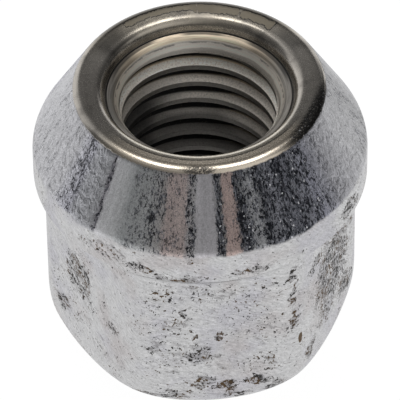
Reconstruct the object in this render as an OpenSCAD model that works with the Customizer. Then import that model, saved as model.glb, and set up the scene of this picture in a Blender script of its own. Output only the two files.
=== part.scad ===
// Open-ended wheel nut with a conical seat, a shoulder band and a softly rounded hexagon.
// It stands on its hexagon end, with the origin at the centre of that face.
// +Z runs along the thread to the seat.

/* [Overall] */
// Height from the hexagon's end face to the rim
nut_h = 21.4; // [19:0.1:26]

/* [Thread] */
// Nominal diameter of the stud's thread
thread_d = 12; // [10:0.5:12.5]
// Distance from one turn of the thread to the next
thread_pitch = 1.5; // [1:0.25:2]
// Width of the countersink round the thread at the hexagon's end
entry_w = 1.2; // [0.6:0.1:1.6]

/* [Seat cone] */
// Full angle of the cone that centres the wheel
seat_angle = 60; // [54:1:70]
// Diameter at which the line of the cone reaches the top
rim_d = 16.56; // [16.3:0.02:18]
// Radius of the crown between the cone and the dished face
crown_r = 0.75; // [0.4:0.05:0.9]

/* [Mouth] */
// Width of the countersink that leads into the thread
mouth_w = 0.59; // [0.4:0.01:0.7]
// Full angle of that countersink
mouth_angle = 68; // [60:1:80]
// Radius of the edge between the countersink and the collar
mouth_edge_r = 0.7; // [0.2:0.05:0.8]
// Width of the sloping collar round the countersink
collar_w = 0.45; // [0.4:0.01:0.6]
// How far the collar falls towards the countersink
collar_drop = 0.16; // [0.08:0.02:0.24]
// Depth of the collar's outer edge below the top
collar_depth = 0.97; // [0.85:0.01:1.1]
// Lean of the wall above the collar, measured from the axis
wall_angle = 22; // [15:1:30]
// Radius of the rolled edge between that wall and the dished face
roll_r = 1; // [0.3:0.05:1.1]
// Slope of the dished face between the rolled edge and the crown
dish_angle = 9; // [4:1:14]

/* [Shoulder band] */
// Diameter of the band, the widest place
band_d = 22.5; // [22:0.1:25]
// Height of the band
band_h = 2.3; // [1.6:0.1:3.4]
// Radius of the band's edge under the cone
band_top_r = 0.8; // [0.2:0.1:1.2]
// Radius of the band's lower edge
band_low_r = 0.3; // [0.1:0.05:0.5]
// Slope of the band's underside, measured from the axis
under_angle = 45; // [35:1:60]

/* [Hexagon] */
// Distance across the flats
across_flats = 19; // [18:0.1:19.5]
// Radius of the hexagon's six long edges
corner_r = 2.2; // [0.8:0.1:3.2]
// Diameter of the flat face at the hexagon's end
end_face_d = 17.1; // [16:0.1:18]
// Height at which the rounding of the end meets the six long edges
end_corner_h = 2.4; // [1.6:0.1:3.4]
// Radius of that rounding
end_round_r = 5.4; // [4:0.1:8]

/* [Hidden] */
$fn = 96;

// Steps along each small rounded edge of a turned profile
edge_steps = 8;
// Length by which a cut passes the face that it starts from
past = 1;

// Crests of the internal thread, from the basic profile of a metric thread
crest_r = (thread_d - 1.0825 * thread_pitch) / 2;
entry_r = crest_r + entry_w;
// The entry countersink has a full angle of 90 degrees, so it is as deep as it is wide
entry_depth = entry_w;

mouth_r = crest_r + mouth_w;
collar_r = mouth_r + collar_w;
collar_z = nut_h - collar_depth;
mouth_z = collar_z - collar_drop;
mouth_slope = tan(mouth_angle / 2);
thread_top_z = mouth_z - mouth_w / mouth_slope;

// The crown is an arc that touches the cone, the dished face and the height of the nut
rim_r = rim_d / 2;
cone_tilt = 90 - seat_angle / 2;
crown_centre = [rim_r - crown_r * tan(cone_tilt / 2), nut_h - crown_r];
crown_half = (cone_tilt + dish_angle) / 2;
crown_corner = crown_centre + crown_r / cos(crown_half) * direction(90 - cone_tilt + crown_half);

// The rolled edge is where the line of the dished face meets the line of the wall
dish_slope = tan(dish_angle);
wall_slope = tan(wall_angle);
roll_rise = (crown_corner.y - collar_z - (crown_corner.x - collar_r) * dish_slope) / (1 - wall_slope * dish_slope);
roll_corner = [collar_r + roll_rise * wall_slope, collar_z + roll_rise];
// Its radius is held to what the dished face beside the crown and the wall have room for
roll_half = (90 - wall_angle - dish_angle) / 2;
dish_room = norm(crown_corner - roll_corner) - crown_r * tan(crown_half);
wall_room = roll_rise / cos(wall_angle);
roll_fit_r = min(roll_r, 0.95 * min(dish_room, wall_room) / tan(roll_half));

flat_r = across_flats / 2;
corner_centre_r = (flat_r - corner_r) / cos(30);
corner_reach = corner_centre_r + corner_r;

band_r = band_d / 2;
band_top_z = nut_h - (band_r - rim_r) / tan(seat_angle / 2);
band_low_z = band_top_z - band_h;
// The underside runs on inside the hexagon, to halfway between its flats and the thread
under_r = (flat_r + crest_r) / 2;
under_z = band_low_z - (band_r - under_r) / tan(under_angle);

// The end's rounding is an arc from the end face to the long edges, and bulges outwards
end_face_r = end_face_d / 2;
end_chord = [corner_reach - end_face_r, end_corner_h];
end_rise = sqrt(pow(end_round_r, 2) - pow(norm(end_chord) / 2, 2));
end_centre = [end_face_r, 0] + end_chord / 2 + end_rise * unit([-end_chord.y, end_chord.x]);

function unit(v) = v / norm(v);

function direction(turn) = [cos(turn), sin(turn)];

// Points of an arc of radius r that rounds the corner p between its neighbours a and b
function corner_arc(a, p, b, r) =
    let (
        u = unit(a - p),
        v = unit(b - p),
        half = acos(u * v) / 2,
        centre = p + unit(u + v) * r / sin(half),
        from = p + u * r / tan(half) - centre,
        start = atan2(from.y, from.x),
        turn = sign(v.x * u.y - v.y * u.x) * (180 - 2 * half)
    )
    [for (i = [0 : edge_steps]) centre + r * direction(start + turn * i / edge_steps)];

// A closed outline from corners [x, y, radius], where a radius of 0 leaves the corner sharp
function rounded(corners) =
    let (n = len(corners), p = [for (c = corners) [c.x, c.y]])
    [for (i = [0 : n - 1]) each
        corners[i].z == 0 ? [p[i]] : corner_arc(p[(i + n - 1) % n], p[i], p[(i + 1) % n], corners[i].z)];

// Section of the hexagon: six flats that run into six round edges, with a flat towards -Y
module hexagon_section() {
    polygon([for (turn = [0 : 60 : 300], side = [-30, 30])
        corner_centre_r * direction(turn) + corner_r * direction(turn + side)]);
    for (turn = [0 : 60 : 300])
        translate(corner_centre_r * direction(turn)) circle(corner_r);
}

// Turned outline that rounds off the hexagon's lower end
module end_section() {
    intersection() {
        translate(end_centre) circle(end_round_r);
        square([band_r, end_centre.y]);
    }
    polygon([[0, 0], [end_face_r, 0], end_centre, [0, end_centre.y]]);
    translate([0, end_centre.y]) square([band_r, band_top_z - end_centre.y]);
}

module hexagon() {
    intersection() {
        linear_extrude(band_low_z + band_h / 2) hexagon_section();
        rotate_extrude() end_section();
    }
}

// Turned head: the underside, the shoulder band, the seat cone, the dished rim and the mouth of the hole
module head() {
    rotate_extrude() polygon(rounded([
        [0, under_z, 0],
        [under_r, under_z, 0],
        [band_r, band_low_z, band_low_r],
        [band_r, band_top_z, band_top_r],
        [crown_corner.x, crown_corner.y, crown_r],
        [roll_corner.x, roll_corner.y, roll_fit_r],
        [collar_r, collar_z, 0],
        [mouth_r, mouth_z, mouth_edge_r],
        [crest_r - past * mouth_slope, thread_top_z - past, 0],
        [0, thread_top_z - past, 0]
    ]));
}

// Thread hole and entry countersink, cut along the axis
module hollow() {
    rotate_extrude() polygon([
        [0, -past],
        [entry_r + past, -past],
        [crest_r, entry_depth],
        [crest_r, nut_h],
        [0, nut_h]
    ]);
}

module lug_nut() {
    color([0.72, 0.72, 0.74])
    difference() {
        union() {
            hexagon();
            head();
        }
        hollow();
    }
}

lug_nut();
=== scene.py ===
import math
from types import SimpleNamespace

import bpy
import numpy as np
from mathutils import Matrix, Vector


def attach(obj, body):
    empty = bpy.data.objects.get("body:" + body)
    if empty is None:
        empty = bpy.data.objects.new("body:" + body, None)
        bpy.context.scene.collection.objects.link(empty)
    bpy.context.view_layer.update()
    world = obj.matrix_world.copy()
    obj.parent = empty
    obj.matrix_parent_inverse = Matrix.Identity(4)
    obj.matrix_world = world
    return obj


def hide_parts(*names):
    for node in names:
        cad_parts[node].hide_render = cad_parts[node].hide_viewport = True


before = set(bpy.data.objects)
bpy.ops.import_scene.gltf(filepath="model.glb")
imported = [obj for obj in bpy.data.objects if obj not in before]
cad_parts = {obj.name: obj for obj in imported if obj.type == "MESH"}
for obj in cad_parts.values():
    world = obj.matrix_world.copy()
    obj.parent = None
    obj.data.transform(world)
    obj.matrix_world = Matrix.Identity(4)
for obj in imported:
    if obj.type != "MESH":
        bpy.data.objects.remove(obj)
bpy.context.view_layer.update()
print("frame loaded:", sorted(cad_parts))

mm = 0.001
perRadian = 180 / math.pi

# Sizes of the nut in millimetres: the solid's, with soft blends, a groove round the collar and a thread
nutShape = {
    "height": 21.4,
    # hexagon, and the rounding of its lower end
    "flatR": 9.5, "edgeR": 2.2,
    "endR": 5.39, "endAt": (5.69, 4.56), "endSoft": 1.06,
    # shoulder band, the fillet under it, and the seat cone
    "bandR": 11.25, "bandLow": 13.94, "bandSoft": 0.08, "fillet": 0.35,
    "rimR": 8.28, "coneSlope": math.tan(math.radians(30)), "coneSoft": 0.22,
    # crown, rolled edge, foot of the wall and groove round the collar: radius, depth below the top, rounding
    "rim": [(8.253, -0.047, 0.75), (6.554, 0.228, 0.8),
            (6.258, 0.96, 0.03), (6.2, 1.03, 0.03), (6.14, 0.97, 0.05)],
    # countersinks at both ends of the thread
    "mouthR": 5.78, "ledgeZ": 20.27, "mouthEdge": 0.7, "mouthSlope": math.tan(math.radians(34)),
    "entryDepth": 1.2,
    # thread: its radii, the flats of its ridges and grooves, and where on the turn a ridge starts
    "crestR": 5.188, "rootR": 5.98, "pitch": 1.5, "crest": 0.375, "root": 0.19, "threadTurn": -0.2,
    # heights between which the thread's depth fades in and out, and where its strip is cut off
    "fadeIn": (0.3, 1.3), "fadeOut": (19.2, 19.9), "strip": (0.15, 20.1),
    # mesh: columns round the axis, and heights on the wall with the number of rows from each to the next
    "columns": 216,
    "wallHeights": (0, 0.3, 5, 11.6, 13.5, 14.3, 15.9, 16.6, 20.8),
    "wallRows": (4, 25, 13, 15, 15, 7, 11, 9),
    "entryRows": 3, "floorRows": 11, "arcSteps": 9, "rimStep": 0.11,
    "crisp": 0.013,                        # rows this close, in pitches, keep the thread's edges crisp
}


def softLower(a, b, soft):
    # the lower of a and b, with the crossing rounded by a parabola as wide as soft
    share = np.clip(0.5 + 0.5 * (a - b) / soft, 0, 1)
    return a * (1 - share) + b * share - soft * share * (1 - share)


def softHigher(a, b, soft):
    # the higher of a and b, rounded in the same way
    return -softLower(-a, -b, soft)


def ease(value, low, high):
    # 0 below low, 1 above high, and a smooth step between
    t = np.clip((value - low) / (high - low), 0, 1)
    return t * t * (3 - 2 * t)


def hexagonRadius(turn, shape):
    # six flats joined by six round edges: the distance from the axis, worked out on one twelfth of a turn
    fold = np.abs((turn + math.pi / 6) % (math.pi / 3) - math.pi / 6)
    centre = (shape["flatR"] - shape["edgeR"]) / math.cos(math.pi / 6)
    inside = shape["edgeR"] ** 2 - (centre * np.sin(fold)) ** 2
    roundEdge = centre * np.cos(fold) + np.sqrt(np.maximum(inside, 0))
    flat = shape["flatR"] / np.cos(math.pi / 6 - fold)
    meet = math.atan2(shape["edgeR"] / 2, centre + shape["edgeR"] * math.cos(math.pi / 6))
    return np.where(fold < meet, roundEdge, flat)


def outerRadius(turn, z, shape):
    # the hexagon, held in by its end's arc, joined to the band, held in by its underside and the seat cone
    centreR, centreZ = shape["endAt"]
    below = np.maximum(centreZ - z, 0)
    endArc = centreR + np.sqrt(np.maximum(shape["endR"] ** 2 - below ** 2, 0))
    hexagon = softLower(hexagonRadius(turn, shape), endArc, shape["endSoft"])
    underside = shape["bandR"] + z - shape["bandLow"]
    cone = shape["rimR"] + (shape["height"] - z) * shape["coneSlope"]
    band = softLower(shape["bandR"] + 0 * z, underside, shape["bandSoft"])
    head = softLower(band, cone, shape["coneSoft"])
    hexagonEnd = shape["bandLow"] + 1                     # hidden inside the band
    return np.where(z < hexagonEnd, softHigher(hexagon, head, shape["fillet"]), head)


def outerRows(heights, counts):
    # heights of the outer wall's rows: each stretch between two heights is divided evenly by its own count
    stretches = zip(heights, heights[1:], counts)
    rows = [np.linspace(low, high, count, endpoint=False) for low, high, count in stretches]
    return np.concatenate(rows + [heights[-1:]])


def roundedPath(corners, steps):
    # a path in (r, z) whose corners, given as (r, z, radius), are arcs of a few steps
    corners = np.array(corners, float)
    path = [corners[0, :2]]
    for before, corner, after in zip(corners[:-2], corners[1:-1], corners[2:]):
        point = corner[:2]
        toBefore = (before[:2] - point) / np.linalg.norm(before[:2] - point)
        toAfter = (after[:2] - point) / np.linalg.norm(after[:2] - point)
        half = math.acos(np.clip(toBefore @ toAfter, -1, 1)) / 2
        middle = toBefore + toAfter
        centre = point + middle / np.linalg.norm(middle) * corner[2] / math.sin(half)
        start = point + toBefore * corner[2] / math.tan(half) - centre
        sign = np.sign(toAfter[0] * toBefore[1] - toAfter[1] * toBefore[0])
        sweep = sign * (math.pi - 2 * half) * np.linspace(0, 1, steps)
        path.extend(centre + np.stack([start[0] * np.cos(sweep) - start[1] * np.sin(sweep),
                                       start[0] * np.sin(sweep) + start[1] * np.cos(sweep)], 1))
    path.append(corners[-1, :2])
    return np.array(path)


def refined(path, longest):
    # the same path with no step longer than the given length
    lengths = np.linalg.norm(np.diff(path, axis=0), axis=1)
    counts = np.maximum(np.ceil(lengths / longest).astype(int), 1)
    places = np.concatenate([i + np.arange(n) / n for i, n in enumerate(counts)] + [[len(path) - 1.0]])
    grid = np.arange(len(path))
    return np.stack([np.interp(places, grid, path[:, 0]), np.interp(places, grid, path[:, 1])], 1)


def boreRadius(turn, z, shape):
    # the thread's trapezium, wound round the axis, faded at both ends and opened by the two countersinks
    phase = (z / shape["pitch"] - turn / (2 * math.pi) - shape["threadTurn"]) % 1
    ridge = np.abs(phase - 0.5) * shape["pitch"]          # distance along the axis from a groove's middle
    crest, root = (shape["pitch"] - shape["crest"]) / 2, shape["root"] / 2
    groove = np.clip((crest - ridge) / (crest - root), 0, 1)
    depth = ease(z, *shape["fadeIn"]) * (1 - ease(z, *shape["fadeOut"])) * (shape["rootR"] - shape["crestR"])
    mouth = shape["mouthR"] - (shape["ledgeZ"] - z) * shape["mouthSlope"]
    entry = shape["crestR"] + shape["entryDepth"] - z
    return np.maximum(np.maximum(shape["crestR"] + depth * groove, mouth), entry)


def threadStrip(shape):
    # one strip wound round the bore, with the turn along it and one pitch across it, cut off at both ends
    low, high = shape["strip"]
    columns = shape["columns"]
    crest = 0.5 * shape["crest"] / shape["pitch"]
    root = 0.5 - 0.5 * shape["root"] / shape["pitch"]
    near = shape["crisp"] * np.array([-1, 0, 1])
    flank = crest + (root - crest) * np.array([0.33, 0.67])
    half = np.concatenate([[0], crest + near, flank, root + near])
    across = np.concatenate([half, 1 - half[:0:-1]])
    turns = math.ceil((high - low) / shape["pitch"] + 2)
    along = np.arange(turns * columns + 1)[:, None] / columns
    turn = 2 * math.pi * along + 0 * across
    z = shape["pitch"] * (along + across + shape["threadTurn"] - 1)
    return turn, np.clip(z, low, high)


def ringRows(turn, shape):
    # radius and height of every ring: down the entry's lip, out over the end face, up the wall, over the rim
    low, high = shape["strip"]
    entryR = shape["crestR"] + shape["entryDepth"]
    wallZ = outerRows(shape["wallHeights"], shape["wallRows"])[:, None]
    wallR = outerRadius(turn, wallZ, shape)
    lipZ = np.linspace(low, 0, shape["entryRows"], endpoint=False)[:, None]
    share = np.linspace(0, 1, shape["floorRows"], endpoint=False)[:, None]
    floorR = entryR + (wallR[:1] - entryR) * share
    top, coneZ = shape["height"], wallZ[-1, 0]
    rim = refined(roundedPath([
        (shape["rimR"] + (top - coneZ) * shape["coneSlope"], coneZ, 0),
        *[(r, top - depth, soft) for r, depth, soft in shape["rim"]],
        (shape["mouthR"], shape["ledgeZ"], shape["mouthEdge"]),
        (float(boreRadius(0.0, np.array(high), shape)), high, 0)], shape["arcSteps"]), shape["rimStep"])[1:]
    flat = 0 * turn
    radii = np.concatenate([entryR - lipZ + flat, floorR, wallR, rim[:, :1] + flat])
    return radii, np.concatenate([lipZ + flat, 0 * floorR, wallZ + flat, rim[:, 1:] + flat])


def wound(r, turn, z):
    # points at radius r, turned round the axis, at height z
    return np.stack([r * np.cos(turn), r * np.sin(turn), z], -1)


def fourSided(a, b, c, d):
    # one quad for each place in four arrays of point numbers
    return np.stack([a, b, c, d], -1).reshape(-1, 4)


def welded(points, quads):
    # quads cut into triangles, with equal points merged, and empty triangles and unused points left out
    perMm = 1e5                                           # steps in a millimetre to which points are rounded
    keys = np.round(points * perMm).astype(np.int64)
    _, first, merged = np.unique(keys, axis=0, return_index=True, return_inverse=True)
    quads = merged.reshape(-1)[quads]
    triangles = np.concatenate([quads[:, [0, 1, 2]], quads[:, [0, 2, 3]]])
    a, b, c = triangles.T
    triangles = triangles[(a != b) & (b != c) & (c != a)]
    used, triangles = np.unique(triangles, return_inverse=True)
    return points[first][used], triangles.reshape(-1, 3)


def buildNut(shape):
    # rings round the axis for the outside and the rim, and a wound strip for the thread, welded at both ends
    columns = shape["columns"]
    turn = 2 * math.pi * np.arange(columns) / columns
    ringR, ringZ = ringRows(turn, shape)
    ring = wound(ringR, turn, ringZ)
    index = np.arange(ringR.size).reshape(ringR.shape)
    after = np.roll(index, -1, 1)
    ringQuads = fourSided(index[:-1], after[:-1], after[1:], index[1:])

    stripTurn, stripZ = threadStrip(shape)
    strip = wound(boreRadius(stripTurn, stripZ, shape), stripTurn, stripZ)
    index = ringR.size + np.arange(stripZ.size).reshape(stripZ.shape)
    # the strip's far edge is its next turn
    index = np.concatenate([index[:-columns], index[columns:, :1]], 1)
    stripQuads = fourSided(index[1:, :-1], index[:-1, :-1], index[:-1, 1:], index[1:, 1:])

    points = np.concatenate([ring.reshape(-1, 3), strip.reshape(-1, 3)])
    return welded(points, np.concatenate([ringQuads, stripQuads]))


def meshPiece(name, points, triangles):
    # a smooth object at the origin, with its points turned from millimetres to metres
    mesh = bpy.data.meshes.new(name)
    mesh.vertices.add(len(points))
    mesh.vertices.foreach_set("co", (points * mm).astype(np.float32).ravel())
    mesh.loops.add(triangles.size)
    mesh.loops.foreach_set("vertex_index", triangles.astype(np.int32).ravel())
    mesh.polygons.add(len(triangles))
    mesh.polygons.foreach_set("loop_start", np.arange(0, triangles.size, 3, dtype=np.int32))
    mesh.update(calc_edges=True)
    mesh.validate()
    mesh.shade_smooth()
    piece = bpy.data.objects.new(name, mesh)
    bpy.context.scene.collection.objects.link(piece)
    return piece


nutPoints, nutTriangles = buildNut(nutShape)
corners = nutPoints[nutTriangles]
volume = np.einsum("ij,ij->i", corners[:, 0], np.cross(corners[:, 1], corners[:, 2])).sum() / 6
print("nut:", len(nutPoints), "points,", len(nutTriangles), "triangles,", round(float(volume), 1), "mm3")
nut = meshPiece("nutBody", nutPoints, nutTriangles)
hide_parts("lug_nut")
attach(nut, "root")


class Knot:
    # a socket in a shader tree: plain operators on it add Math nodes, and add() brings in any other node
    def __init__(self, tree, socket=None):
        self.tree, self.socket = tree, socket

    def add(self, kind, settings=None, sockets=None, out=0):
        node = self.tree.nodes.new(kind)
        for name, value in (settings or {}).items():
            if name == "stops":
                fillRamp(node.color_ramp, value)
            else:
                setattr(node, name, value)
        for name, value in (sockets or {}).items():
            if isinstance(value, Knot):
                self.tree.links.new(value.socket, node.inputs[name])
            else:
                node.inputs[name].default_value = value
        return Knot(self.tree, node.outputs[out]) if len(node.outputs) else node

    def other(self, out):
        # another output of the same node
        return Knot(self.tree, self.socket.node.outputs[out])

    def math(self, operation, *values):
        return self.add("ShaderNodeMath", {"operation": operation}, dict(enumerate(values)))

    def __add__(self, other):
        return self.math("ADD", self, other)

    def __radd__(self, other):
        return self.math("ADD", other, self)

    def __sub__(self, other):
        return self.math("SUBTRACT", self, other)

    def __rsub__(self, other):
        return self.math("SUBTRACT", other, self)

    def __mul__(self, other):
        return self.math("MULTIPLY", self, other)

    def __rmul__(self, other):
        return self.math("MULTIPLY", other, self)

    def __truediv__(self, other):
        return self.math("DIVIDE", self, other)

    def __rtruediv__(self, other):
        return self.math("DIVIDE", other, self)

    def __pow__(self, other):
        return self.math("POWER", self, other)

    def __rpow__(self, other):
        return self.math("POWER", other, self)

    def __abs__(self):
        return self.math("ABSOLUTE", self)


def fillRamp(ramp, stops):
    # a colour at each place from 0 to 1; a new ramp already has two stops
    for i, (place, colour) in enumerate(stops):
        stop = ramp.elements[i] if i < 2 else ramp.elements.new(place)
        stop.position, stop.color = place, colour


def newMaterial(name):
    # an empty material, and a knot to add its nodes with
    material = bpy.data.materials.new(name)
    material.use_nodes = True
    tree = material.node_tree
    tree.nodes.clear()
    return material, Knot(tree)


def step(value, low, high, start=0.0, end=1.0):
    # start below low, end above high, and a smooth step between
    return value.add("ShaderNodeMapRange", {"interpolation_type": "SMOOTHSTEP"},
                     {0: value, 1: low, 2: high, 3: start, 4: end})


def fade(value, low, high, start=1.0):
    # start below low, falling to 0 above high
    return step(value, low, high, start, 0.0)


def within(value, low, high, soft, strength=1.0):
    # strength from low to high and 0 outside, with edges as wide as twice soft
    return step(value, low - soft, low + soft, 0.0, strength) * fade(value, high - soft, high + soft)


def strongest(first, *others):
    # the highest of several values
    for value in others:
        first = first.math("MAXIMUM", first, value)
    return first


def lowest(first, *others):
    # the lowest of several values
    for value in others:
        first = first.math("MINIMUM", first, value)
    return first


def tint(mask, plain, covered):
    # plain where the mask is 0, covered where it is 1; a colour Mix has its colours on sockets 6 and 7
    return mask.add("ShaderNodeMix", {"data_type": "RGBA"}, {0: mask, 6: plain, 7: covered}, out=2)


def shade(colour, level):
    # the colour times a level
    return level.add("ShaderNodeVectorMath", {"operation": "SCALE"}, {0: colour, "Scale": level})


def join(x, y, z=0.0):
    # a vector from three values
    return x.add("ShaderNodeCombineXYZ", sockets={0: x, 1: y, 2: z})


def cloud(vector, scale, detail=2.0, rough=0.5, twist=0.0):
    # soft noise from 0 to 1 with its middle near 0.5
    return vector.add("ShaderNodeTexNoise", sockets={
        "Vector": vector, "Scale": scale, "Detail": detail, "Roughness": rough, "Distortion": twist})


def grains(vector, scale):
    # a random level from 0 to 1 for each small cell
    cell = vector.add("ShaderNodeTexVoronoi", sockets={"Vector": vector, "Scale": scale}, out="Color")
    return vector.add("ShaderNodeSeparateColor", sockets={0: cell})


def degrees(stops):
    # ramp stops written as (degrees from the front, red, green, blue, amount of grit and painted dark
    # reflection)
    return [((place + 90) / 180, tuple(colour)) for place, *colour in stops]


def spot(where, across, up, wide, tall, strength):
    # strength in the middle of an ellipse, falling to 0 at its edge
    near = where.add("ShaderNodeVectorMath", {"operation": "MULTIPLY_ADD"}, {
        0: where, 1: (1 / wide, 1 / tall, 0), 2: (-across / wide, -up / tall, 0)})
    far = where.add("ShaderNodeVectorMath", {"operation": "LENGTH"}, {0: near}, out="Value")
    return fade(far, 0.5, 1.05, strength)


# Colours and marks of the plating, with the light and shade painted on it; lengths in millimetres, bearings
# in degrees, right is positive
plating = {
    # hexagon and band
    "body": (0.57, 0.57, 0.575, 1), "lilac": (0.49, 0.485, 0.525, 1), "rosy": (0.49, 0.465, 0.465, 1),
    "dirt": (0.03, 0.028, 0.026, 1), "rust": (0.1, 0.062, 0.03, 1), "smear": (0.17, 0.16, 0.165, 1),
    # rim, mouth and bore
    "nickel": (0.47, 0.44, 0.4, 1), "nickelWarm": (0.47, 0.425, 0.355, 1),
    # the last colour on the next line is a painted pale reflection for the crown's front
    "nickelDark": (0.2, 0.185, 0.17, 1), "film": (0.255, 0.226, 0.178, 1), "crownReflection": (0.79, 0.7, 0.58, 1),
    # lip and collar on the next line are colours of painted highlights
    "lip": (0.93, 0.88, 0.78, 1), "bore": (0.97, 0.91, 0.83, 1), "collar": (0.93, 0.78, 0.59, 1),
    # the first colour on the next line is oil and also painted shade; the second paints glints
    "oilAndShade": (0.04, 0.04, 0.04, 1), "glint": (0.75, 0.75, 0.78, 1),
    # where the finishes meet, each as the start and end of a soft step in height or radius
    "coneStart": (16.1, 16.35), "rimStart": (21.14, 21.22), "holeR": (7.6, 7.8), "holeStart": (0.3, 0.5),
    "boreTop": (20.4, 20.55), "boreR": (6.2, 6.4), "threadTop": (19.45, 19.6),
    # dirty places on the hexagon and band, and one painted shadow under the band: bearing from the front,
    # height, reach in degrees and mm, strength
    "smudgesAndShadow": [
        (-66, 8.2, 12, 2.5, 0.8), (-77, 4.2, 7, 0.9, 0.8), (-43, 6.1, 5, 0.7, 0.7), (-58, 6.3, 7, 0.9, 0.5),
        (-22, 11.0, 9, 1.8, 0.5), (-4, 11.2, 20, 1.2, 0.45), (-15, 8.4, 7, 1.1, 0.6),
        (-9.5, 7.3, 2, 0.4, 1.0), (1, 7.0, 2.6, 0.4, 0.95), (-7, 5.2, 9, 1.0, 0.75), (-12, 9.6, 2, 0.5, 0.9),
        (10, 10.4, 14, 1.6, 0.4), (17, 8.0, 8, 2.4, 0.35), (17, 4.2, 11, 1.4, 0.5), (-24, 6.2, 4, 1.6, 0.55),
        (-12, 6.2, 12, 0.6, 0.45), (4, 2.2, 6, 0.9, 0.95), (16, 2.5, 8, 0.6, 1.0), (25, 1.6, 6, 1.0, 0.8),
        (-17, 1.6, 9, 0.8, 0.75), (29.5, 10.6, 1.8, 2.8, 0.85), (31, 7.8, 2.4, 1.4, 0.95),
        (63, 7.6, 22, 4.2, 0.85), (46, 10.6, 8, 0.9, 0.85), (41, 3.2, 6, 1.0, 0.85), (76, 4.0, 10, 1.3, 0.9),
        # the last spot on the next line, on the left just under the band, is a painted shadow
        (58, 4.6, 14, 1.6, 0.7), (80, 10.2, 9, 1.4, 0.7), (57, 15.0, 8, 1.0, 0.8), (-72, 13.5, 15, 0.6, 0.75),
        (-12, 14.2, 14, 0.5, 0.75), (-40, 15.2, 14, 0.8, 0.55),
        (12, 14.5, 12, 0.5, 0.7), (-27, 14.6, 9, 0.6, 0.7), (-28, 1.3, 9, 0.6, 0.85), (9, 1.2, 10, 0.5, 0.85),
        (-6, 2.8, 8, 0.8, 0.8), (62, 10.8, 12, 1.2, 0.75), (50, 7.0, 7, 1.6, 0.8)],
    "pit": (33.5, 5.5, 1.5, 0.6, 1.0),
    "seam": (13.85, 13.92),                # dark line under the band
    # loose grit on the cone, partly pitting and partly painted dark reflection, from its dark grains to its
    # brightest
    "grains": [(0.0, (0.012, 0.012, 0.015, 1)), (0.48, (0.02, 0.021, 0.026, 1)),
               (0.64, (0.09, 0.094, 0.11, 1)), (0.95, (0.36, 0.365, 0.4, 1))],
    # painted reflections of the room, as streaks down the seat cone: bearing from the front, colour, amount
    # of grit and painted dark reflection
    "reflectionStreaks": [
        (-88, 0.54, 0.54, 0.56, 0.34), (-67, 0.58, 0.58, 0.605, 0.2), (-62, 0.57, 0.57, 0.62, 0.45),
        (-58, 0.5, 0.5, 0.56, 0.5), (-56, 0.46, 0.465, 0.495, 0.2), (-47, 0.43, 0.435, 0.455, 0.25),
        (-45, 0.3, 0.285, 0.32, 0.7), (-44, 0.66, 0.66, 0.68, 0.0), (-37, 0.63, 0.64, 0.65, 0.0),
        (-34, 0.46, 0.475, 0.485, 0.3), (-25, 0.48, 0.485, 0.49, 0.5), (-20.5, 0.47, 0.45, 0.445, 0.52),
        (-18.5, 0.58, 0.49, 0.47, 0.4), (-12, 0.6, 0.51, 0.49, 0.37), (-10.5, 0.5, 0.48, 0.49, 0.65),
        (-7.8, 0.5, 0.49, 0.5, 0.55), (-6.8, 0.6, 0.585, 0.61, 0.0), (-0.6, 0.58, 0.565, 0.59, 0.0),
        (0.6, 0.26, 0.255, 0.265, 0.8), (2.8, 0.28, 0.275, 0.275, 0.7), (3.6, 0.54, 0.425, 0.395, 0.3),
        (7.6, 0.53, 0.42, 0.39, 0.35), (9, 0.17, 0.17, 0.18, 0.9), (16, 0.42, 0.425, 0.44, 0.55),
        (20, 0.18, 0.183, 0.2, 0.85), (24, 0.29, 0.295, 0.33, 0.65), (31, 0.17, 0.175, 0.205, 0.8),
        (36, 0.26, 0.265, 0.3, 0.66), (42, 0.31, 0.315, 0.37, 0.6), (52, 0.37, 0.37, 0.395, 0.28),
        (70, 0.52, 0.52, 0.535, 0.14), (88, 0.42, 0.42, 0.43, 0.42)],
    # film left at the back of the rim: bearings of its ends and cracks; its left, right and outer radius
    "filmSpan": (-35, 47), "cracks": [(27.4, 28.2), (4.4, 5.0)], "filmR": (7.45, 7.22, 7.86),
    # stains on both sides of the film, and painted shade low on the wall's sides: bearings from the back,
    # softness, strength
    "besideFilm": [(-58, -38, 6, 0.6), (52, 68, 6, 0.42)],
    "wallSideShade": [(-84, -55, 8, 0.75), (40, 52, 5, 0.6)],
    # painted shade on the crown, and a spot on the collar: bearing, radius, reach in degrees and in mm,
    # strength
    "shadedGap": (-6, 8.25, 10, 0.42, 0.9), "speckledShade": (60, 8.2, 30, 0.7, 0.97),
    "collarSpot": (-88, 6.2, 45, 0.42, 0.1),
}


def readPlace(make):
    # millimetres from the axis and the end face, and bearings as arcsine of x / r and arctangent of x / y
    at = SimpleNamespace()
    metres = make.add("ShaderNodeTexCoord", out="Object")
    at.place = make.add("ShaderNodeVectorMath", {"operation": "SCALE"}, {0: metres, "Scale": 1 / mm})
    at.x = make.add("ShaderNodeSeparateXYZ", sockets={0: at.place})
    at.y, at.z = at.x.other(1), at.x.other(2)
    at.r = (at.x * at.x + at.y * at.y) ** 0.5
    at.folded = make.math("ARCSINE", at.x / at.r) * perRadian     # bearing, the same at the front and back
    at.behind = make.math("ARCTAN2", at.x, at.y) * perRadian      # bearing from the middle of the back
    backShift = 15 * step(at.y, -0.01, 0.01)
    at.turned = backShift - at.folded * make.math("SIGN", at.y)   # bearing, begun again at the back
    at.across, at.along = at.x / at.r * 10, at.y / at.r * 10
    at.around = join(at.across, at.along, at.z)                   # the wall laid on a cylinder of 10 mm
    return at


def drawnOut(at, share):
    # the wall on its cylinder with heights times share, so that noise on it runs down the slope
    return join(at.across, at.along, at.z * share)


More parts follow.
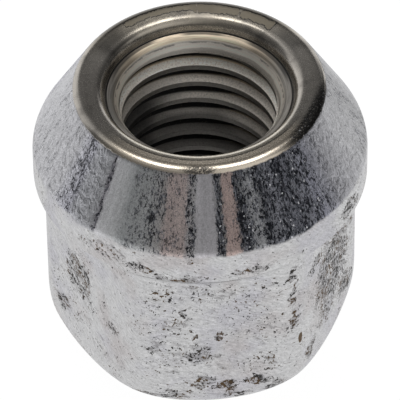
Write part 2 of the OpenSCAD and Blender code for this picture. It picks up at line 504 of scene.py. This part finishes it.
def hexagonFinish(at, look):
    # clouded plating with fine grain and brushed strokes, slanted on the sides and level on the front
    z, around = at.z, at.around
    clouds = cloud(around, 0.32, 4, 0.6)
    grain = cloud(around, 8.0, 2, 0.7)
    slanted = z.add("ShaderNodeVectorRotate", {"rotation_type": "Z_AXIS"}, {
        "Vector": drawnOut(at, 0.4), "Angle": z * 0.09})
    level = join(at.x * 0.4, at.y * 0.4, z * 1.2 + at.x * 0.42)
    facing = fade(abs(at.folded), 25.0, 33.0)
    strokes = tint(facing, cloud(slanted, 2.6, 6, 0.75), cloud(level, 2.2, 6, 0.75))
    brushed = tint(facing, cloud(slanted, 7.0, 2, 0.6), cloud(level, 6.0, 2, 0.6))
    body = tint(step(clouds, 0.44, 0.66) * 0.7, look["body"], look["lilac"])
    body = tint(step(cloud(at.place, 0.25, 3), 0.52, 0.72) * 0.8, body, look["rosy"])
    body = shade(body, 0.28 + 0.64 * grain + 0.8 * brushed)

    # dirt and pits, thickest in the dirty places, one of which is a painted shadow under the band; a dark
    # line under the band
    ragged = cloud(around, 1.3, 3, 0.6)
    where = join(at.turned + 14 * (ragged - 0.5), z + 1.8 * (cloud(around, 1.1, 3) - 0.5))
    dirtAndShadow = 0.4 * step(cloud(around, 0.5, 3, 0.6), 0.44, 0.66)
    dirtAndShadow = strongest(dirtAndShadow, *[spot(where, *mark) for mark in look["smudgesAndShadow"]])
    smear = step(strokes + 0.26 * dirtAndShadow, 0.62, 0.76)
    pits = step(cloud(around, 3.4, 3, 0.68, 0.3) + 0.205 * dirtAndShadow, 0.7, 0.715)
    dots = step(cloud(around, 6.0, 1.5, 0.5) + 0.16 * dirtAndShadow, 0.715, 0.735)
    seam = within(z + 0.05 * (ragged - 0.5), *look["seam"], 0.02) * step(ragged, 0.3, 0.45)
    hair = cloud(join(at.x * 0.5, at.y * 0.5, z * 1.2 + at.x * 0.3), 1.0, 2, 0.5, 0.8)
    hair = fade(abs(hair - 0.5), 0.002, 0.008) * step(ragged, 0.45, 0.55)
    pit = spot(join(at.turned + 1.5 * (ragged - 0.5), z), *look["pit"])
    earth = tint(step(cloud(around, 0.9, 2), 0.45, 0.6), look["dirt"], look["rust"])
    body = tint(smear * 0.6, body, look["smear"])
    body = tint(seam * 0.55, body, look["dirt"])
    body = tint(hair * 0.5, body, look["smear"])
    spoiled = strongest(pits * 0.97, dots * 0.85)
    body = tint(spoiled, body, earth)
    body = tint(step(pit, 0.3, 0.6), body, look["rust"])
    return SimpleNamespace(colour=body, spoiled=spoiled, clouds=clouds, grain=grain)


def coneFinish(at, look):
    # painted reflections as streaks down the slope, coloured by a bearing that wanders, and broken by clumps
    # of fine grit that are partly painted dark reflection, and by painted glints
    wander = at.folded + 5.0 * (cloud(drawnOut(at, 0.6), 2.6, 5, 0.75) - 0.5)
    # painted reflections of the room, by bearing
    streakedReflection = wander.add("ShaderNodeValToRGB", {"stops": degrees(look["reflectionStreaks"])}, {0: wander / 180 + 0.5})
    amount = streakedReflection.other("Alpha")
    runs = cloud(drawnOut(at, 0.12), 2.4, 4, 0.65)
    clump = cloud(drawnOut(at, 0.5), 1.7, 4, 0.65)
    fine = cloud(drawnOut(at, 0.6), 7.5, 3, 0.8)
    sand = cloud(at.around, 13.0, 2, 0.7)
    crystal = 0.5 * grains(drawnOut(at, 0.5), 9.0) + 0.5 * cloud(drawnOut(at, 0.35), 6.0, 3, 0.7)
    glint = step(grains(drawnOut(at, 0.9), 10.0) + 0.3 * (clump - 0.5), 0.99, 0.995)
    # dark specks: partly grit and partly painted dark reflection
    gritAndDarkReflection = step(fine + 0.6 * (clump - 0.5) + 0.32 * amount, 0.66, 0.72)
    bright = crystal + 0.5 * (clump - 0.5) + 0.9 * (runs - 0.5)
    loose = bright.add("ShaderNodeValToRGB", {"stops": look["grains"]}, {0: bright})
    seat = shade(streakedReflection, 0.26 + 0.62 * runs + 0.55 * fine + 0.24 * crystal)
    seat = tint(gritAndDarkReflection * step(amount, 0.0, 0.6, 0.4, 1.0), seat, loose)
    seat = shade(seat, 1 + (sand - 0.5) * (1 + 2.2 * amount))
    # painted glints
    seat = tint(glint * step(amount, 0.4, 0.7), seat, look["glint"])
    ripple = cloud(drawnOut(at, 0.8), 2.0, 2, 0.5, 1.0) * within(abs(at.folded), 47, 84, 6)
    return SimpleNamespace(colour=seat, spoiled=gritAndDarkReflection * amount, relief=fine * amount + 6 * ripple)


def rimStainsAndPaintedLight(at, look, nickel):
    # painted shade by radius and bearing: on the crown's back, low on the wall's sides, on the collar's sides
    # and round its outer edge;
    # oil beside the film; and a painted highlight on the rolled edge at the front
    r, behind = at.r, at.behind
    # painted shade: the outer edge of the crown darkened at the back
    crownBack = step(r + 0.14 * (at.speck - 0.5), 7.86, 7.92) * step(at.y, 4.0, 6.5)
    nickel = tint(crownBack * 0.72, nickel, look["oilAndShade"])
    left, right = [within(behind, *mark) for mark in look["besideFilm"]]
    beside = strongest(left, right * step(r, 7.0, 7.2)) * step(r, 6.55, 6.65) * fade(r, 7.6, 8.0)
    nickel = tint(beside, nickel, look["oilAndShade"])
    # painted shade low on the wall's sides
    lowWall = strongest(*[within(behind, *mark) for mark in look["wallSideShade"]])
    nickel = tint(lowWall * within(r, 6.27, 6.52, 0.05), nickel, look["oilAndShade"])
    # painted shade on the collar's sides
    nickel = tint(step(abs(behind), 34.0, 48.0, 0.0, 0.55) * at.collared, nickel, look["oilAndShade"])
    # painted shadow round the collar's outer edge, left out where the collar's painted highlight stays
    shining = (1 - within(behind, -24, -5, 5)) * (1 - within(behind, 22, 38, 5, 0.6))
    outerEdge = within(r, 5.95, 6.2, 0.04) * at.bored * within(behind, -68, 82, 8) * shining
    nickel = tint(outerEdge * 0.77, nickel, look["oilAndShade"])
    # painted highlight on the rolled edge at the front
    lip = within(r, 6.5, 6.98, 0.06) * fade(abs(at.folded), 40.0, 64.0) * at.front
    return tint(lip * 0.75, nickel, look["lip"])


def tornFilm(at, look, nickel):
    # film at the back: how far inside its ragged edge a point lies, in mm, less two cracks; its edge is
    # darkened as a painted shadow
    r, behind = at.r, at.behind
    wavy = behind + 5 * (cloud(at.around, 3.0, 2) - 0.5)
    crack = strongest(*[within(wavy, *mark, 0.3) for mark in look["cracks"]])
    first, last = look["filmSpan"]
    leftR, rightR, outerR = look["filmR"]
    mmPerDegree = 0.13
    torn = lowest(lowest(behind - first, last - behind) * mmPerDegree,
                  r - step(behind, 2.5, 4.0, leftR, rightR), outerR - r)
    torn = torn + 0.7 * (cloud(at.around, 1.3, 5, 0.75) - 0.5) - 0.3 * crack
    upper = step(at.z, 20.8, 20.9)
    # painted shadow along the film's edge
    nickel = tint(within(torn, -0.08, 0.0, 0.02) * upper * 0.85, nickel, look["oilAndShade"])
    film = step(torn, 0.0, 0.03) * upper
    return tint(film, nickel, look["film"]), film


def frontCrown(at, look, nickel):
    # front of the crown: a painted pale reflection with a painted dark inner edge, painted shade in a gap
    # between its highlights, and a speckled painted shade with painted glints to the right
    speck, sides = at.speck, abs(at.folded)
    crown = join(at.folded + 9 * (cloud(at.place, 1.6, 3) - 0.5), at.r + 0.9 * (speck - 0.5))
    # painted shade in the gap between the crown's highlights, and speckled painted shade to the right where
    # the highlight ends
    shadedGap = spot(crown, *look["shadedGap"]) * at.front
    speckledShade = spot(crown, *look["speckledShade"]) * at.front
    uneven = at.r + 0.12 * (speck - 0.5)
    # a painted pale reflection on the crown's front, and a painted dark line inside it
    crownReflected = step(uneven, 7.28, 7.34) * fade(sides, 40.0, 60.0) * at.front
    edge = within(uneven, 7.2, 7.3, 0.03) * fade(sides, 40.0, 60.0, 0.75) * at.front
    nickel = tint(crownReflected, nickel, look["crownReflection"])
    nickel = tint(strongest(shadedGap * step(speck, 0.36, 0.5), edge), nickel, look["oilAndShade"])
    nickel = tint(speckledShade * step(speck, 0.32, 0.44), nickel, look["oilAndShade"])
    # painted glints on the speckled shade
    return tint(speckledShade * at.dust, nickel, look["glint"])


def threadDirtAndShade(at, look, nickel):
    # painted shade in the collar's crease, on the thread's crests, on the first crest and deeper down, more
    # on the left; dark roots, partly oil and partly painted shade; a faint dark spot on the collar, a dark
    # line round the countersink, and a little dust
    r, z, behind, stain = at.r, at.z, at.behind, at.stain
    # painted shade in the collar's crease
    crease = within(r, 6.17, 6.27, 0.03) * fade(z, 20.45, 20.6)
    collarSpot = spot(join(behind + 20 * (stain - 0.5), r + 0.2 * (at.speck - 0.5)), *look["collarSpot"])
    # dark roots, partly oil and partly painted shade, wider lower down and on the left
    rootsWiden = fade(z, 15.0, 19.0, 0.2) * step(behind, 10, 36, 1.0, 0.1)
    roots = step(r + 0.1 * (at.speck - 0.5) + rootsWiden, 5.65, 5.87) * at.threaded
    # painted shade on the thread's crests
    crests = fade(r, 5.192, 5.206, 0.66) * at.threaded
    # painted shade deeper down the bore and more on its left
    sunk = z - 2.2 * fade(behind, -55, 5) + 1.2 * step(behind, 15, 40) - 0.8 * fade(r, 5.2, 5.45)
    leftDeep = step(behind, -40, 12, 0.96, 0.2) * fade(z, 15.5, 18.6)
    deep = strongest(fade(sunk, 12.2, 16.6, 0.86), leftDeep)
    # painted shade on the first crest
    firstCrestShade = within(z + 0.15 * (stain - 0.5), 19.4, 19.66, 0.04, 0.42)
    ring = within(z + 0.3 * (stain - 0.5), 19.97, 20.07, 0.03) * step(stain, 0.4, 0.6, 0.1, 0.6)
    inBore = strongest(deep, firstCrestShade, ring, collarSpot) * at.bored
    nickel = tint(strongest(roots, crests, inBore, crease), nickel, look["oilAndShade"])
    nickel = tint(at.dust * at.threaded * 0.3, nickel, look["film"])
    return shade(nickel, 1 + at.threaded * 1.1 * (at.speck - 0.5))


def nickelFinish(at, look):
    # rim, mouth and bore: warm nickel with turning lines and a painted highlight on the collar's back, then
    # its stains, films, dirt and painted light and shade
    r, y, z = at.r, at.y, at.z
    lathe = cloud(join(r, z), 8.0, 3, 0.7)
    rings = cloud(join(r * 6, z * 6, at.behind * 0.02), 2.6, 2, 0.6)
    at.stain = cloud(at.place, 0.9, 4, 0.6)
    at.speck = cloud(at.place, 8.0, 3, 0.7)
    # dust specks; on the crown they are painted glints
    at.dust = step(cloud(at.place, 7.0, 2, 0.6), 0.64, 0.7)
    at.front = fade(y, -1.0, 0.0)
    at.bored = fade(z, *look["boreTop"]) * fade(r, *look["boreR"])
    at.collared = within(r, 5.68, 6.18, 0.04) * at.bored
    at.threaded = at.bored * fade(z, *look["threadTop"])
    pepper = step(at.speck, 0.56, 0.66)
    nickel = tint(step(abs(y), 3.0, 6.5), look["nickel"], look["nickelWarm"])
    nickel = tint(step(at.stain, 0.45, 0.75) * 0.65, nickel, look["nickelDark"])
    nickel = tint(at.bored, nickel, look["bore"])
    nickel = shade(nickel, 0.62 + 0.5 * lathe + 0.34 * at.speck - 0.14 * pepper)
    # painted highlight: the collar's back tinted gold, its front kept plain nickel
    nickel = tint(at.collared * step(y, 1.0, 4.0, 0.0, 0.9), nickel, look["collar"])
    nickel = tint(at.collared * fade(y, 1.0, 4.0, 0.6), nickel, look["nickel"])
    nickel = shade(nickel, 1 + at.collared * 1.7 * (rings - 0.5))
    nickel = rimStainsAndPaintedLight(at, look, nickel)
    nickel, film = tornFilm(at, look, nickel)
    nickel = frontCrown(at, look, nickel)
    nickel = threadDirtAndShade(at, look, nickel)
    dull = within(at.behind + 8 * (at.speck - 0.5), 1, 15, 2) * step(r, 6.4, 6.5)
    rough = 0.18 + 0.08 * at.stain + 0.1 * pepper + 0.2 * film + 0.12 * dull
    rough = rough + 0.28 * at.bored + 0.04 * at.threaded
    return SimpleNamespace(colour=nickel, rough=rough, relief=0.2 * lathe + 0.12 * at.speck)


def wornPlatingWithPaintedLight(look):
    # three finishes mixed by height and radius: the hexagon and band, the seat cone, the rim and the hole
    material, make = newMaterial("wornPlatingWithPaintedLight")
    at = readPlace(make)
    inside = step(at.z + 0.12 * cloud(at.around, 3.0, 2), *look["rimStart"])
    inside = strongest(inside, fade(at.r, *look["holeR"])) * step(at.z, *look["holeStart"])
    cone = step(at.z + 0.5 * (cloud(at.around, 0.9, 3) - 0.5), *look["coneStart"])
    hexagon = hexagonFinish(at, look)
    seat = coneFinish(at, look)
    nickel = nickelFinish(at, look)

    colour = tint(inside, tint(cone, hexagon.colour, seat.colour), nickel.colour)
    spoiled = hexagon.spoiled * (1 - cone) + seat.spoiled * cone
    rough = 0.37 + 0.1 * hexagon.clouds + 0.15 * spoiled
    rough = rough * (1 - inside) + nickel.rough * inside
    relief = 0.25 * hexagon.grain - 0.5 * spoiled + seat.relief * cone
    relief = relief * (1 - inside) + nickel.relief * inside
    bump = make.add("ShaderNodeBump", sockets={"Strength": 0.4, "Distance": 0.00005, "Height": relief})
    shader = make.add("ShaderNodeBsdfPrincipled", sockets={
        "Base Color": colour, "Metallic": 1.0, "Roughness": rough, "Normal": bump})
    make.add("ShaderNodeOutputMaterial", sockets={0: shader})
    return material


nut.data.materials.append(wornPlatingWithPaintedLight(plating))
print("plating made")

# Camera: where the photograph was taken from, in millimetres and degrees
view = {
    "target": (0, 0, 10), "distance": 350, "elevation": 44.21, "turn": 5.5, "roll": -0.79,
    # the picture's centre, in pixels right of and above the target
    "offset": (-0.85, 6.35), "pixelsPerMm": 14.72,
    "lens": 463.7,
    "clip": (0.01, 20),                                   # in metres
}


def placeCamera(view):
    # the eye at a distance from the target, turned round the axis, raised, rolled and moved by the offset
    rise, turn = math.radians(view["elevation"]), math.radians(view["turn"])
    out = Vector((-math.sin(turn) * math.cos(rise), -math.cos(turn) * math.cos(rise), math.sin(rise)))
    facing = out.to_track_quat("Z", "Y").to_matrix() @ Matrix.Rotation(math.radians(view["roll"]), 3, "Z")
    right, up = (offset / view["pixelsPerMm"] for offset in view["offset"])
    centre = Vector(view["target"]) + facing.col[0] * right + facing.col[1] * up
    lens = bpy.data.cameras.new("camera")
    lens.lens = view["lens"]
    lens.clip_start, lens.clip_end = view["clip"]
    camera = bpy.data.objects.new("camera", lens)
    camera.matrix_world = Matrix.Translation((centre + out * view["distance"]) * mm) @ facing.to_4x4()
    bpy.context.scene.collection.objects.link(camera)
    bpy.context.scene.camera = camera


placeCamera(view)
print("camera placed")

# Floor: a pale sheet, in metres, that shows as the white ground and keeps the shadow
floorLook = {
    "half": 0.6, "below": 0.00002,
    "matt": (0.8, 0.8, 0.8, 1), "faint": (0.12, 0.12, 0.12, 1), "white": (1, 1, 1, 1), "glow": 0.96,
}


def pavedFloor(look):
    # a level square just below the nut: a white glow with a faint shadow where it is seen, matt to other rays
    edge = look["half"] * np.array([-1, 1])
    gx, gy = np.meshgrid(edge, edge)
    points = np.stack([gx, gy, 0 * gx - look["below"]], -1).reshape(-1, 3)
    mesh = bpy.data.meshes.new("floor")
    mesh.from_pydata(points.tolist(), [], [(0, 1, 3, 2)])
    floor = bpy.data.objects.new("floor", mesh)
    bpy.context.scene.collection.objects.link(floor)
    material, make = newMaterial("paleFloor")
    seen = make.add("ShaderNodeLightPath", out="Is Camera Ray")
    seen = strongest(seen, seen.other("Is Glossy Ray"), seen.other("Is Transmission Ray"))
    matt = make.add("ShaderNodeBsdfDiffuse", sockets={"Color": look["matt"]})
    faint = make.add("ShaderNodeBsdfDiffuse", sockets={"Color": look["faint"]})
    glow = make.add("ShaderNodeEmission", sockets={"Color": look["white"], "Strength": look["glow"]})
    bright = make.add("ShaderNodeAddShader", sockets={0: faint, 1: glow})
    surface = make.add("ShaderNodeMixShader", sockets={0: seen, 1: matt, 2: bright})
    make.add("ShaderNodeOutputMaterial", sockets={0: surface})
    mesh.materials.append(material)


pavedFloor(floorLook)
print("floor laid")

# Studio: a dim room with bright panels at the back, a pale front and ceiling, a white ground, and soft boxes.
# Spans are bearings in degrees from the back, and their softness; a pair of levels is from low to high.
studioLook = {
    "dim": 0.12, "darker": 0.05, "darkSide": (16, 130, 10),
    "backLevel": 0.95, "backSpan": (-26, 36, 6),
    "tallLevels": (0.98, 0.32), "tallSpan": (-64, -18, 6),
    "highLevels": (0.6, 0.3), "highSpan": (-62, -38, 6),
    "ceiling": 0.34, "frontLevels": (0.15, 0.7),           # the front from its left to its right
    # soft boxes, in metres and watts: place, size, power
    "lampHeight": 0.5,
    "lamps": {
        "overheadRight": ((0.11, 0.1), (0.14, 0.21), 0.3),
        "overheadLeft": ((-0.094, 0.1), (0.113, 0.21), 0.245)},
}


def studioRoom(look):
    # the level in a direction is the highest of the room's parts there, each limited by its rise and bearing
    world = bpy.data.worlds.new("studio")
    bpy.context.scene.world = world
    world.use_nodes = True
    world.node_tree.nodes.clear()
    make = Knot(world.node_tree)
    way = make.add("ShaderNodeTexCoord", out="Generated")
    side = make.add("ShaderNodeSeparateXYZ", sockets={0: way})
    back, rise = side.other(1), side.other(2)
    azimuth = make.math("ARCTAN2", side, back) * perRadian
    backPanel = fade(rise, 0.3, 0.42, look["backLevel"]) * within(azimuth, *look["backSpan"])
    tallPanel = step(rise, 0.26, 0.85, *look["tallLevels"]) * within(azimuth, *look["tallSpan"])
    highPanel = step(rise, 0.88, 0.97, *look["highLevels"]) * within(azimuth, *look["highSpan"])
    highPanel = highPanel * step(rise, 0.6, 0.7)
    dim = look["dim"] - look["darker"] * within(azimuth, *look["darkSide"]) * fade(rise, 0.45, 0.65)
    ceiling = step(rise, 0.55, 0.92, 0.0, look["ceiling"])
    front = step(rise, 0.25, 0.6) * fade(back, -0.3, 0.0) * step(side, -0.5, 0.5, *look["frontLevels"])
    ground = fade(rise, 0.04, 0.09)                       # it curves up a little all round
    room = strongest(dim, ceiling, backPanel, tallPanel, highPanel, front, ground)
    background = make.add("ShaderNodeBackground", sockets={"Color": room, "Strength": 1.0})
    make.add("ShaderNodeOutputWorld", sockets={0: background})


def softBox(name, place, height, size, power):
    # a rectangle of light that points straight down
    lamp = bpy.data.lights.new(name, "AREA")
    lamp.shape = "RECTANGLE"
    lamp.size, lamp.size_y = size
    lamp.energy = power
    box = bpy.data.objects.new(name, lamp)
    box.matrix_world = Matrix.Translation((*place, height))
    bpy.context.scene.collection.objects.link(box)


studioRoom(studioLook)
for name, (place, size, power) in studioLook["lamps"].items():
    softBox(name, place, studioLook["lampHeight"], size, power)

bpy.context.scene.view_settings.view_transform = "Standard"
print("studio set")
